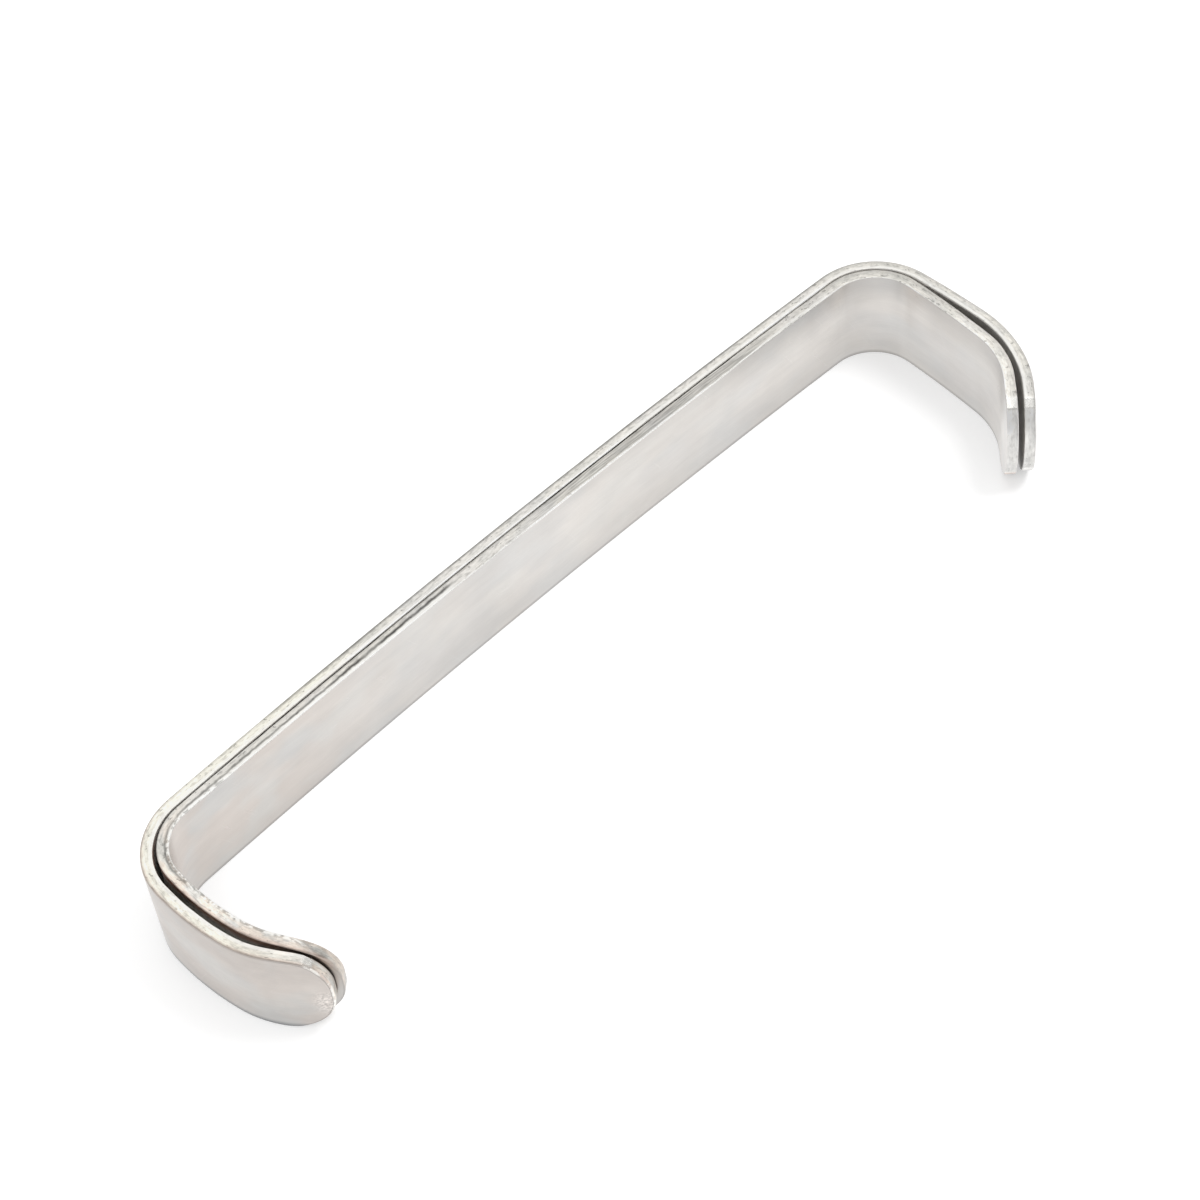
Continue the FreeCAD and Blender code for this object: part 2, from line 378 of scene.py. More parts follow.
class Paint:
    """A material put together from short steps. A value given to a step is a number or a socket.
    Places are the strip's own: along it, up and out from its middle, in millimetres. crossing is the
    distance from the upper inner corner, out over the edge or, below 0, down the face. rim is 1 on the
    edge and 0 on the faces, end is 1 where the edge faces along the strip, and flat is 1 on the ground
    flats of the tips. The surface so far is kept in colour, tone, roughness and height."""

    def __init__(self, name):
        self.material = bpy.data.materials.new(name)
        self.material.use_nodes = True
        self.tree = self.material.node_tree
        self.shader = self.tree.nodes["Principled BSDF"]
        self.place = self.vector("SCALE", self.attribute("strip_place", "Vector"), Scale=1 / MM)
        split = add_node(self.tree, "ShaderNodeSeparateXYZ")
        self.join(self.place, split.inputs[0])
        self.along, self.up, self.out = split.outputs
        self.rim = self.attribute("rim", "Fac")
        self.end = self.attribute("end", "Fac")
        self.flat = self.attribute("tip_flat", "Fac")
        self.crossing = self.plus(self.out, self.up, (THICKNESS / 2 - WIDTH) / MM)
        self.colour = self.tone = self.roughness = self.height = None

    # Steps that give a value

    def join(self, value, socket):
        """Links a socket to another one, or sets a number or vector there."""
        if isinstance(value, bpy.types.NodeSocket):
            self.tree.links.new(value, socket)
        else:
            socket.default_value = value

    def attribute(self, name, output):
        return add_node(self.tree, "ShaderNodeAttribute", attribute_name=name).outputs[output]

    def vector(self, operation, *values, **named):
        node = add_node(self.tree, "ShaderNodeVectorMath", operation=operation)
        for value, socket in zip(values, node.inputs):
            self.join(value, socket)
        for key, value in named.items():
            self.join(value, node.inputs[key])
        return node.outputs[0]

    def maths(self, operation, *values):
        node = add_node(self.tree, "ShaderNodeMath", operation=operation)
        for value, socket in zip(values, node.inputs):
            self.join(value, socket)
        return node.outputs[0]

    def product(self, first, *others):
        for other in others:
            first = self.maths("MULTIPLY", first, other)
        return first

    def plus(self, first, *others):
        for other in others:
            first = self.maths("ADD", first, other)
        return first

    def opposite(self, value):
        return self.maths("SUBTRACT", 1.0, value)

    def rise(self, value, low, high):
        """0 at low and 1 at high, with a smooth step between. low may be the larger one."""
        node = add_node(self.tree, "ShaderNodeMapRange", interpolation_type="SMOOTHSTEP")
        for item, socket in zip((value, low, high, 0.0, 1.0), node.inputs):
            self.join(item, socket)
        return node.outputs[0]

    def zone(self, value, first, last, soft):
        """1 between two places and 0 outside them, with soft ends."""
        half = soft / 2
        return self.product(
            self.rise(value, first - half, first + half), self.rise(value, last + half, last - half)
        )

    def stretch(self, first, last, soft):
        """1 between two places along the strip and 0 outside them, with soft ends."""
        return self.zone(self.along, first, last, soft)

    def peak(self, value, middle, reach):
        """1 at a place, falling smoothly to 0 at a distance from it."""
        return self.rise(self.maths("ABSOLUTE", self.maths("SUBTRACT", value, middle)), reach, 0.0)

    def scaled(self, value, low, high):
        """A value from 0 to 1 carried over to low to high."""
        return self.maths("MULTIPLY_ADD", value, high - low, low)

    def level(self, first, second, share):
        """A number between two others, by share."""
        return self.plus(self.product(first, self.opposite(share)), self.product(second, share))

    def noise(self, grain, seed, detail=2.0, turned=0.0, roughness=0.5):
        """Soft noise from 0 to 1. grain is the size of its spots along, up and out, in millimetres."""
        place = self.place
        if turned:
            node = add_node(self.tree, "ShaderNodeVectorRotate", rotation_type="Z_AXIS")
            self.join(place, node.inputs["Vector"])
            node.inputs["Angle"].default_value = math.radians(turned)
            place = node.outputs[0]
        place = self.vector("MULTIPLY", place, tuple(1 / size for size in grain))
        place = self.vector("ADD", place, (seed, seed * 0.7, seed * 1.3))
        node = add_node(self.tree, "ShaderNodeTexNoise")
        self.join(place, node.inputs["Vector"])
        node.inputs["Scale"].default_value = 1.0
        node.inputs["Detail"].default_value = detail
        node.inputs["Roughness"].default_value = roughness
        return node.outputs["Fac"]

    def blend(self, first, second, share):
        """A colour between two others, by share."""
        node = add_node(self.tree, "ShaderNodeMix", data_type="RGBA")
        self.join(share, node.inputs[0])
        for value, socket in ((first, node.inputs[6]), (second, node.inputs[7])):
            self.join(value if isinstance(value, bpy.types.NodeSocket) else (*value, 1.0), socket)
        return node.outputs[2]

    # Steps that change the surface so far

    def tint(self, colour, share):
        """Carries the colour over to another one, by share."""
        self.colour = self.blend(self.colour, colour, share)

    def shade(self, mask, factor):
        """Multiplies the tone by a factor where the mask is 1."""
        self.tone = self.product(self.tone, self.scaled(mask, 1.0, factor))

    def darken(self, share):
        """Takes a share off the tone."""
        self.tone = self.product(self.tone, self.opposite(share))

    def set_tone(self, tone, share):
        """Carries the tone over to another one, by share."""
        self.tone = self.level(self.tone, tone, share)

    def set_roughness(self, roughness, share):
        """Carries the roughness over to another one, by share."""
        self.roughness = self.level(self.roughness, roughness, share)

    def finish(self):
        """Puts the surface into the shader, as metal."""
        colour = self.vector("SCALE", self.colour, Scale=self.tone)
        self.join(self.vector("MINIMUM", colour, (BRIGHTEST,) * 3), self.shader.inputs["Base Color"])
        self.shader.inputs["Metallic"].default_value = 1.0
        self.join(self.roughness, self.shader.inputs["Roughness"])
        bump = add_node(self.tree, "ShaderNodeBump")
        bump.inputs["Distance"].default_value = MM
        self.join(self.height, bump.inputs["Height"])
        self.join(bump.outputs[0], self.shader.inputs["Normal"])
        return self.material


# Colours of the steel: its satin faces with their cool and rosy clouds, its bare ground edges, the bright
# steel of the ground flats and of painted highlights, the stains, the grey ends of the right tips, which
# carry painted shading, the cool of painted shade at the foot, and the faces that lie against each
# other, painted lighter
FACE_STEEL = (0.690, 0.668, 0.640)
COOL_STEEL = (0.668, 0.656, 0.640)
ROSY_STEEL = (0.690, 0.636, 0.595)
EDGE_STEEL = (0.780, 0.766, 0.732)
CREAM_STEEL = (0.895, 0.868, 0.765)
ROSY_EDGE = (0.870, 0.775, 0.680)
BRIGHT_STEEL = (0.930, 0.920, 0.885)
STAINED_EDGE = (0.720, 0.580, 0.500)
TIP_STEEL = (0.800, 0.795, 0.780)
COOL_SHADE = (0.640, 0.665, 0.690)
SEAM_STEEL = (0.900, 0.880, 0.850)
SEAM_BROWN = (0.820, 0.560, 0.440)

# The lightest that a colour may get, and how rough the surface is where it isn't plain
BRIGHTEST = 0.97
FLAT_ROUGHNESS = 0.22
BRIGHT_LINE_ROUGHNESS = 0.26
SEAM_ROUGHNESS = 0.65

# The marks below are placed in millimetres. Along the outer strip the left corner lies from -64 to -79,
# the left blade runs to -91 and the left tip ends at -105. The right corner lies from 64 to 80, the
# right blade runs to 91 and the right tip ends at 114. On the inner strip these are -64, -75, -87 and
# -101, and 64, 77, 92 and 110. Up, a strip ends at 0 and 16. Out, its faces lie at 0.85 and -0.85, and
# the seam is on the outer strip's inner side and the inner strip's outer side. How strong each mark is
# was chosen.


def face_finish(paint):
    """The satin faces: slow clouds of colour and tone, a grain brushed along the strip, painted shade
    towards the lower edges, and a few fine scratches that cross it. Gives colour, tone, roughness and
    height."""
    patches = paint.rise(paint.noise((16.0, 9.0, 6.0), seed=3.0), 0.40, 0.60)
    colour = paint.blend(FACE_STEEL, COOL_STEEL, patches)
    left = paint.rise(paint.along, -22.0, -56.0)
    rosy = paint.rise(paint.noise((9.0, 6.0, 5.0), seed=11.0), 0.34, 0.60)
    colour = paint.blend(colour, ROSY_STEEL, paint.product(rosy, paint.scaled(left, 0.22, 0.95)))

    clouds = paint.noise((6.0, 4.0, 4.0), seed=21.0, detail=3.0)
    streaks = paint.noise((11.0, 1.3, 3.0), seed=27.0, detail=3.0)
    brushed = paint.noise((2.2, 0.20, 1.0), seed=5.0)
    tone = paint.plus(
        paint.scaled(clouds, 0.92, 1.08),
        paint.scaled(streaks, -0.06, 0.06),
        paint.scaled(brushed, -0.04, 0.04),
    )
    # Painted shade: the faces get darker towards their lower edges.
    low = paint.rise(paint.up, 8.5, 0.8)
    tone = paint.product(tone, paint.scaled(low, 0.99, 0.87), paint.scaled(left, 1.0, 0.91))

    scratches = None
    for turned, seed in ((7.0, 31.0), (-19.0, 37.0), (58.0, 43.0)):
        line = paint.rise(paint.noise((14.0, 0.13, 6.0), seed, detail=0.0, turned=turned), 0.74, 0.80)
        gaps = paint.rise(paint.noise((4.0, 4.0, 3.0), seed + 2.0, detail=1.0), 0.50, 0.60)
        line = paint.product(line, gaps)
        scratches = line if scratches is None else paint.maths("MAXIMUM", scratches, line)
    tone = paint.plus(tone, paint.product(scratches, 0.04))
    roughness = paint.plus(
        paint.scaled(patches, 0.32, 0.37),
        paint.scaled(clouds, -0.03, 0.03),
        paint.product(scratches, -0.05),
    )
    fine = paint.noise((0.6, 0.16, 0.3), seed=53.0, detail=3.0)
    height = paint.plus(
        paint.product(fine, 0.0012), paint.product(clouds, 0.006), paint.product(scratches, -0.002)
    )
    return colour, tone, roughness, height


def edge_finish(paint):
    """The ground edges: mottled, with short marks along the strip and small dark pits. Gives colour,
    tone, roughness and height."""
    coarse = paint.noise((3.2, 3.2, 1.1), seed=61.0)
    mottle = paint.noise((0.9, 0.9, 0.45), seed=63.0, detail=3.0, roughness=0.65)
    marks = paint.noise((2.0, 2.0, 0.15), seed=67.0)
    worn = paint.rise(paint.noise((1.5, 1.5, 0.50), seed=69.0), 0.54, 0.66)
    pits = paint.rise(paint.noise((0.7, 0.7, 0.34), seed=71.0, detail=1.0), 0.68, 0.75)
    patches = paint.rise(paint.noise((7.0, 7.0, 4.0), seed=73.0), 0.38, 0.60)
    left = paint.rise(paint.along, -62.0, -72.0)
    colour = paint.blend(EDGE_STEEL, CREAM_STEEL, paint.product(patches, 0.3))
    rosy = paint.product(paint.rise(coarse, 0.36, 0.60), paint.scaled(left, 0.12, 0.9))
    colour = paint.blend(colour, ROSY_EDGE, rosy)
    tone = paint.plus(
        paint.scaled(coarse, -0.20, 0.20),
        paint.scaled(mottle, 0.56, 1.36),
        paint.scaled(marks, -0.24, 0.24),
    )
    tone = paint.product(tone, paint.scaled(worn, 1.0, 0.78), paint.scaled(pits, 1.0, 0.58))
    roughness = paint.scaled(mottle, 0.22, 0.46)
    height = paint.plus(
        paint.product(mottle, 0.016), paint.product(marks, 0.006), paint.product(pits, -0.012)
    )
    return colour, tone, roughness, height


def tip_marks(paint):
    """The ground flats of the tips, bright partly from grinding and partly as a painted highlight, the
    even grey ends of the right ones, which carry painted shading that follows how they face, and painted
    shade on the edge low down, which is deeper on the right tips."""
    ground = paint.rise(paint.rim, 0.3, 0.6)
    flat = paint.product(ground, paint.flat)
    # Partly painted highlight: the flats are brighter and smoother.
    paint.tint(BRIGHT_STEEL, paint.product(flat, 0.85))
    paint.set_tone(1.06, paint.product(flat, 0.7))
    paint.set_roughness(FLAT_ROUGHNESS, flat)
    # Painted shading on the right tips' ends, lighter and darker by how they face.
    tip = paint.product(paint.rise(paint.along, 88.0, 92.0), ground, paint.opposite(paint.flat))
    paint.set_tone(0.93, paint.product(tip, paint.rise(paint.end, 0.58, 0.64), 0.35))
    paint.shade(paint.product(tip, paint.zone(paint.end, 0.60, 0.90, soft=0.1)), 1.24)
    paint.shade(paint.product(tip, paint.rise(paint.end, 0.88, 0.96)), 0.90)
    paint.tint(TIP_STEEL, paint.product(tip, paint.rise(paint.end, 0.55, 0.65), 0.75))
    # Painted shade on the edge low down, deeper on the right tips.
    paint.shade(paint.product(ground, paint.rise(paint.up, 2.2, 0.4)), 0.48)
    paint.shade(paint.product(tip, paint.rise(paint.up, 4.0, 2.9)), 0.62)


def outer_edge_tones(paint, top):
    """The outer strip's upper edge: creamy on the left, duller on its outer side where the cream ends,
    and duller before the left tip."""
    cream = paint.product(top, paint.stretch(-98.0, -34.0, soft=14.0))
    paint.tint(CREAM_STEEL, paint.product(cream, 0.85))
    paint.shade(cream, 1.14)
    outer_side = paint.rise(paint.out, -0.2, 0.5)
    paint.shade(paint.product(top, paint.stretch(-46.0, -27.0, soft=8.0), outer_side), 0.80)
    paint.shade(paint.product(top, paint.stretch(-97.3, -92.5, soft=1.5)), 0.87)


def outer_corner_line(paint, upper, blade, uneven):
    """A grey line of painted shade along the rounded outer corner, weaker at the left corner and from the
    right corner on, and tinted brown by a stain on the left blade. Round the right corner a soft grey
    streak runs beside it."""
    # Painted shade for a dark reflection along the rounded outer corner.
    line = paint.product(
        upper,
        paint.peak(paint.out, 0.64, reach=0.42),
        paint.scaled(uneven, 0.6, 1.3),
        paint.rise(paint.rim, 0.1, 0.4),
    )
    strength = paint.product(
        paint.scaled(blade, 0.58, 0.0),
        paint.scaled(paint.stretch(-70.0, -46.0, soft=6.0), 1.0, 0.4),
        paint.scaled(paint.rise(paint.along, 58.0, 78.0), 1.0, 0.35),
    )
    paint.darken(paint.product(line, strength))
    paint.tint(STAINED_EDGE, paint.product(line, blade, 0.5))
    across = paint.peak(paint.out, 0.28, reach=0.50)
    paint.shade(paint.product(upper, paint.stretch(62.0, 85.0, soft=6.0), across), 0.92)


def seam_border(paint, top, upper, uneven):
    """A bright border beside the seam, and a painted highlight on the rounding towards the seam along the
    middle and near the right corner."""
    border = paint.product(
        top,
        paint.rise(paint.out, -0.12, -0.45),
        paint.scaled(uneven, 0.5, 1.3),
        paint.scaled(paint.stretch(-22.0, 20.0, soft=12.0), 1.0, 0.5),
    )
    paint.tint(BRIGHT_STEEL, paint.product(border, 0.8))
    paint.set_tone(1.04, paint.product(border, 0.75))
    highlit_stretches = paint.plus(paint.stretch(-32.0, 22.0, soft=8.0), paint.stretch(46.0, 64.0, soft=6.0))
    seam_side = paint.rise(paint.out, 0.0, -0.4)
    # Painted highlight on the rounding towards the seam.
    rounding = paint.product(upper, paint.peak(paint.crossing, 0.0, reach=0.30), seam_side, highlit_stretches)
    paint.tint(BRIGHT_STEEL, paint.product(rounding, 0.8))
    paint.shade(rounding, 1.35)


def left_blade_face(paint, face, blade):
    """The left blade's outer face: a little darker under its upper edge as painted shade, mottled, and
    lighter where it leaves the corner as a painted reflection."""
    outside = paint.rise(paint.out, 0.5, 0.8)
    below = paint.product(face, blade, outside)
    # Painted shade under the upper edge.
    shading = paint.scaled(paint.rise(paint.up, 8.0, 15.5), 0.95, 0.88)
    paint.tone = paint.product(paint.tone, paint.level(1.0, shading, below))
    mottle = paint.noise((2.6, 1.6, 3.0), seed=89.0, detail=4.0, roughness=0.6)
    mottled = paint.product(paint.tone, paint.scaled(mottle, 0.90, 1.10))
    paint.set_tone(mottled, paint.product(below, 0.9))
    # Painted reflection where the face leaves the corner.
    paint.shade(paint.product(face, paint.peak(paint.along, -74.5, reach=3.6), outside), 1.22)


def left_tip_marks(paint, edge):
    """The outer strip's left tip: a duller edge with a light broken line, a painted highlight on its
    rounding, and a scratched patch on the face beside it."""
    tip = paint.product(edge, paint.rise(paint.end, 0.35, 0.7), paint.rise(paint.along, -96.0, -98.5))
    paint.shade(tip, 0.86)
    # Painted highlight along the rounding of the tip's end.
    line = paint.product(
        paint.peak(paint.out, 0.74, reach=0.28),
        paint.rise(paint.end, 0.50, 0.70),
        paint.rise(paint.along, -97.0, -99.0),
        paint.rise(paint.up, 3.0, 5.0),
        paint.rise(paint.noise((1.6, 1.2, 2.0), seed=87.0), 0.36, 0.52),
    )
    paint.tint(BRIGHT_STEEL, paint.product(line, 0.8))
    paint.set_tone(1.02, paint.product(line, 0.8))
    patch = paint.product(
        paint.peak(paint.along, -104.0, reach=2.4),
        paint.peak(paint.up, 6.4, reach=3.6),
        paint.rise(paint.out, 0.3, 0.6),
    )
    hatch = paint.rise(paint.noise((0.5, 0.30, 0.5), seed=85.0, detail=3.0, turned=40.0), 0.34, 0.64)
    paint.set_tone(paint.scaled(hatch, 0.66, 1.34), paint.product(patch, 0.75))


def outer_marks(paint):
    """What shows on the outer strip alone."""
    edge = paint.rise(paint.rim, 0.45, 0.8)
    upper = paint.rise(paint.up, 8.0, 12.0)
    top = paint.product(edge, upper)
    blade = paint.rise(paint.along, -60.0, -74.0)
    uneven = paint.noise((4.0, 4.0, 2.0), seed=81.0)
    outer_edge_tones(paint, top)
    outer_corner_line(paint, upper, blade, uneven)
    seam_border(paint, top, upper, uneven)
    left_blade_face(paint, paint.opposite(edge), blade)
    left_tip_marks(paint, edge)


def dark_line_and_band(paint, top, upper, slow, uneven):
    """The inner strip's upper edge left of the middle, to beyond the corner: a dark line that wanders,
    painted shade for a dark reflection in the rounded corner, and a bright band between it and the inner
    corner, a painted highlight. Gives where the band is."""
    left = paint.stretch(-78.0, -14.0, soft=3.0)
    middle = paint.plus(
        paint.scaled(paint.rise(paint.along, -40.0, -12.0), -0.12, 0.05),
        paint.scaled(uneven, -0.22, 0.22),
        paint.product(paint.rise(paint.along, -52.0, -60.0), -0.06),
        paint.product(paint.rise(paint.along, -62.0, -70.0), -0.22),
    )
    wide = paint.plus(paint.rise(paint.along, -40.0, -32.0), paint.stretch(-78.0, -68.0, soft=4.0))
    line = paint.peak(paint.out, middle, reach=paint.scaled(wide, 0.30, 0.44))
    depth = paint.product(
        paint.scaled(paint.rise(slow, 0.36, 0.60), 0.60, 0.95), paint.scaled(wide, 0.80, 1.08)
    )
    # Painted shade: the dark line, a dark reflection in the rounded corner.
    dark = paint.product(top, left, line, depth)
    # Painted highlight: the band beside the inner corner.
    band = paint.product(
        upper,
        left,
        paint.rise(paint.out, paint.plus(middle, -0.14), paint.plus(middle, -0.34)),
        paint.rise(paint.crossing, -0.05, 0.15),
    )
    paint.tint(BRIGHT_STEEL, paint.product(band, 0.8))
    paint.set_tone(paint.scaled(slow, 0.86, 1.16), paint.product(band, 0.85))
    paint.darken(paint.product(dark, 0.85))
    return band


def grey_band_and_bright_line(paint, top, upper, slow):
    """The inner strip's upper edge right of the middle: a grey brushed band, and a bright line along the
    inner corner, a painted highlight. Gives where the line is."""
    streaks = paint.noise((3.6, 3.6, 0.16), seed=97.0)
    across = paint.zone(paint.out, -0.68, 0.60, soft=0.3)
    grey = paint.product(top, paint.stretch(2.0, 50.0, soft=12.0), across)
    brushed = paint.product(
        paint.scaled(paint.rise(streaks, 0.34, 0.66), 0.46, 0.90),
        paint.scaled(paint.stretch(18.0, 46.0, soft=8.0), 1.0, 0.84),
    )
    paint.set_tone(brushed, paint.product(grey, 0.85))
    place = paint.scaled(paint.rise(paint.along, 38.0, 54.0), -0.11, 0.34)
    # Painted highlight along the inner corner.
    line = paint.product(
        upper,
        paint.stretch(2.0, 62.0, soft=8.0),
        paint.peak(paint.crossing, place, reach=0.27),
        paint.scaled(slow, 0.7, 1.3),
    )
    paint.tint(BRIGHT_STEEL, line)
    bright = paint.scaled(paint.rise(paint.along, 34.0, 56.0), 1.08, 0.90)
    paint.set_tone(bright, paint.product(line, 0.9))
    return line


def inner_edge_tones(paint, top, upper):
    """The inner strip's upper edge has painted shade beside the seam along the middle, is darker towards
    the seam right of that, and is lighter along the right blade. The rounding of its inner corner has a
    painted highlight."""
    # Painted shade beside the seam.
    seam_shade = paint.product(top, paint.stretch(-48.0, 34.0, soft=14.0), paint.rise(paint.out, 0.42, 0.72))
    paint.shade(seam_shade, 0.74)
    far = paint.product(top, paint.rise(paint.along, 46.0, 62.0), paint.rise(paint.out, -0.75, 0.75))
    paint.shade(far, 0.76)
    paint.shade(paint.product(top, paint.rise(paint.along, 80.0, 90.0), paint.opposite(paint.flat)), 1.20)
    # Painted highlight on the rounding of the inner corner.
    rounding = paint.product(
        upper, paint.peak(paint.crossing, 0.0, reach=0.22), paint.rise(paint.out, 0.0, -0.4)
    )
    paint.tint(BRIGHT_STEEL, paint.product(rounding, 0.6))
    paint.shade(rounding, 1.25)


def inner_face_shading(paint, face):
    """The inner strip's broad face, in painted light and shade for its reflections: darker under its upper
    edge and low before the right corner, with two lighter places in the right corner, a light right lip
    and a lightest stretch of the handle."""
    below = paint.product(paint.stretch(40.0, 101.0, soft=16.0), face, paint.rise(paint.up, 9.5, 15.6))
    brow = paint.product(paint.stretch(6.0, 52.0, soft=12.0), face, paint.rise(paint.up, 13.0, 15.7))
    corner_start = paint.plus(
        paint.product(paint.peak(paint.along, 63.4, reach=5.5), 0.30),
        paint.product(paint.peak(paint.along, 64.2, reach=2.0), 0.18),
    )
    corner_end = paint.product(
        paint.rise(paint.along, 74.8, 77.8), paint.rise(paint.along, 83.5, 77.8), 0.45
    )
    glow = paint.plus(
        paint.product(corner_start, paint.rise(paint.up, 6.5, 12.5)),
        paint.product(corner_end, paint.rise(paint.up, 8.0, 14.5)),
        paint.product(paint.stretch(65.6, 75.6, soft=1.6), -0.04),
    )
    low = paint.product(paint.stretch(44.0, 64.0, soft=8.0), face, paint.rise(paint.up, 8.0, 2.0))
    # Painted shade and painted light in place of the face's reflections.
    paint.shade(below, 0.82)
    paint.shade(brow, 0.91)
    paint.tone = paint.product(paint.tone, paint.plus(1.0, paint.product(glow, face)))
    paint.shade(low, 0.94)
    paint.shade(paint.product(paint.rise(paint.along, 99.0, 107.0), face), 1.14)
    paint.shade(paint.product(paint.peak(paint.along, 5.0, reach=16.0), face), 1.04)


def inner_left_blade(paint, edge, top, upper, slow):
    """The inner strip's left blade: stained beside the seam, with bright and dark specks along the
    inner corner."""
    paint.shade(paint.product(top, paint.stretch(-86.5, -72.0, soft=3.0)), 1.12)
    paint.shade(paint.product(top, paint.rise(paint.along, -87.0, -90.0)), 0.88)
    blade = paint.product(upper, paint.rise(paint.along, -73.0, -79.0))
    stain = paint.product(blade, paint.rise(paint.out, 0.2, 0.75), paint.scaled(slow, 0.5, 1.4))
    paint.tint(STAINED_EDGE, paint.product(stain, 0.75))
    paint.shade(stain, 0.92)
    paint.shade(paint.product(blade, edge), 1.10)
    specks = paint.noise((0.75, 0.75, 0.42), seed=99.0)
    row = paint.product(
        upper, paint.peak(paint.crossing, 0.22, reach=0.5), paint.stretch(-97.0, -56.0, soft=6.0)
    )
    paint.tint(BRIGHT_STEEL, paint.product(row, paint.rise(specks, 0.46, 0.56), 0.8))
    paint.set_tone(paint.scaled(paint.rise(specks, 0.34, 0.58), 0.50, 1.10), paint.product(row, 0.8))


def inner_ends(paint, uneven):
    """The inner strip's ends: the lowest visible part of the right tip is stained, and the end of the
    left tip is dull."""
    stain = paint.product(
        paint.rise(paint.along, 100.0, 104.0),
        paint.rise(paint.rim, 0.3, 0.6),
        paint.rise(paint.up, 4.6, 3.2),
    )
    paint.tint(STAINED_EDGE, paint.product(stain, paint.scaled(uneven, 0.3, 1.1)))
    paint.shade(paint.product(paint.rise(paint.end, 0.5, 0.9), paint.rise(paint.along, -90.0, -95.0)), 0.72)


def inner_marks(paint):
    """What shows on the inner strip alone."""
    edge = paint.rise(paint.rim, 0.5, 0.85)
    upper = paint.rise(paint.up, 10.0, 13.0)
    top = paint.product(edge, upper)
    uneven = paint.noise((1.3, 1.3, 2.0), seed=91.0)
    slow = paint.noise((5.0, 5.0, 5.0), seed=93.0)
    band = dark_line_and_band(paint, top, upper, slow, uneven)
    line = grey_band_and_bright_line(paint, top, upper, slow)
    paint.set_roughness(BRIGHT_LINE_ROUGHNESS, paint.maths("MAXIMUM", line, band))
    inner_edge_tones(paint, top, upper)
    inner_face_shading(paint, paint.opposite(edge))
    inner_left_blade(paint, edge, top, upper, slow)
    inner_ends(paint, uneven)


def seam_face_marks(paint, seam_side):
    """The faces that lie against each other: painted lighter than the others, as painted light in the
    narrow gap between the strips, but for the left tips, stained brown at the top of the left blade, and
    darker low in the right tips as painted shade. They're duller where they nearly touch. seam_side is 1
    or -1, for the face that looks at the other strip."""
    inside = paint.product(
        paint.rise(paint.product(paint.out, seam_side), 0.55, 0.8), paint.rise(paint.rim, 0.4, 0.1)
    )
    left_tip = paint.rise(paint.along, -93.0, -97.0)
    # Painted light: the faces in the gap are made lighter.
    paint.tint(SEAM_STEEL, paint.product(inside, paint.opposite(left_tip)))
    brown = paint.product(inside, paint.rise(paint.along, -68.0, -76.0), paint.rise(paint.up, 14.3, 15.5))
    paint.tint(SEAM_BROWN, paint.product(brown, paint.opposite(left_tip)))
    paint.set_tone(paint.scaled(left_tip, 1.0, 0.74), inside)
    # Painted shade low in the gap at the right tips.
    low = paint.product(inside, paint.rise(paint.along, 98.0, 106.0), paint.rise(paint.up, 9.0, 3.0))
    paint.shade(low, 0.5)
    dull = paint.plus(
        paint.product(paint.stretch(-76.0, -58.0, soft=6.0), 0.7),
        paint.stretch(-26.0, 5.0, soft=8.0),
        paint.stretch(45.0, 81.0, soft=8.0),
        paint.product(paint.rise(paint.along, 78.0, 84.0), 0.45),
    )
    paint.set_roughness(SEAM_ROUGHNESS, paint.product(inside, dull))


def lower_line(paint):
    """A fine dark line of painted shade where the faces meet the lower edges, wider and cooler on the left
    blade.
    """
    left_blade = paint.rise(paint.along, -66.0, -76.0)
    # Painted shade along the foot, tinted cool on the left blade.
    line = paint.product(
        paint.rise(paint.up, paint.scaled(left_blade, 0.8, 1.3), 0.25),
        paint.maths("MAXIMUM", paint.opposite(paint.rise(paint.end, 0.3, 0.8)), left_blade),
    )
    paint.tint(COOL_SHADE, paint.product(line, left_blade, 0.6))
    paint.darken(paint.product(line, paint.scaled(left_blade, 0.28, 0.50)))


def steel(name, own_marks, seam_side):
    """The steel of one strip: its finishes, what both strips show, and its own marks."""
    paint = Paint(name)
    face_colour, *face_numbers = face_finish(paint)
    edge_colour, *edge_numbers = edge_finish(paint)
    ground = paint.rise(paint.rim, 0.35, 0.75)
    paint.colour = paint.blend(face_colour, edge_colour, ground)
    paint.tone, paint.roughness, paint.height = (
        paint.level(face, edge, ground) for face, edge in zip(face_numbers, edge_numbers)
    )
    tip_marks(paint)
    own_marks(paint)
    seam_face_marks(paint, seam_side)
    lower_line(paint)
    return paint.finish()


# Each piece with the node that it replaces, its material slot, its own marks, and the side of it that
# faces the other strip: 1 outwards, -1 inwards
PIECES = (
    (outer, "outer_retractor", "outer_steel", outer_marks, -1),
    (inner, "inner_retractor", "inner_steel", inner_marks, 1),
)
for piece, node, slot, own_marks, seam_side in PIECES:
    piece.data.materials.append(steel(slot, own_marks, seam_side))
    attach(piece, "root")
    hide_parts(node)


# The floor's colour and size in metres, how far it is lifted to white for the camera and for
# reflections, and how much of its shading reflections show
FLOOR_COLOR = (0.70, 0.70, 0.70)
FLOOR_SIZE = 4.0
SEEN_LIFT = 0.41
MIRRORED_LIFT = 0.85
MIRRORED_SHADE = 0.4


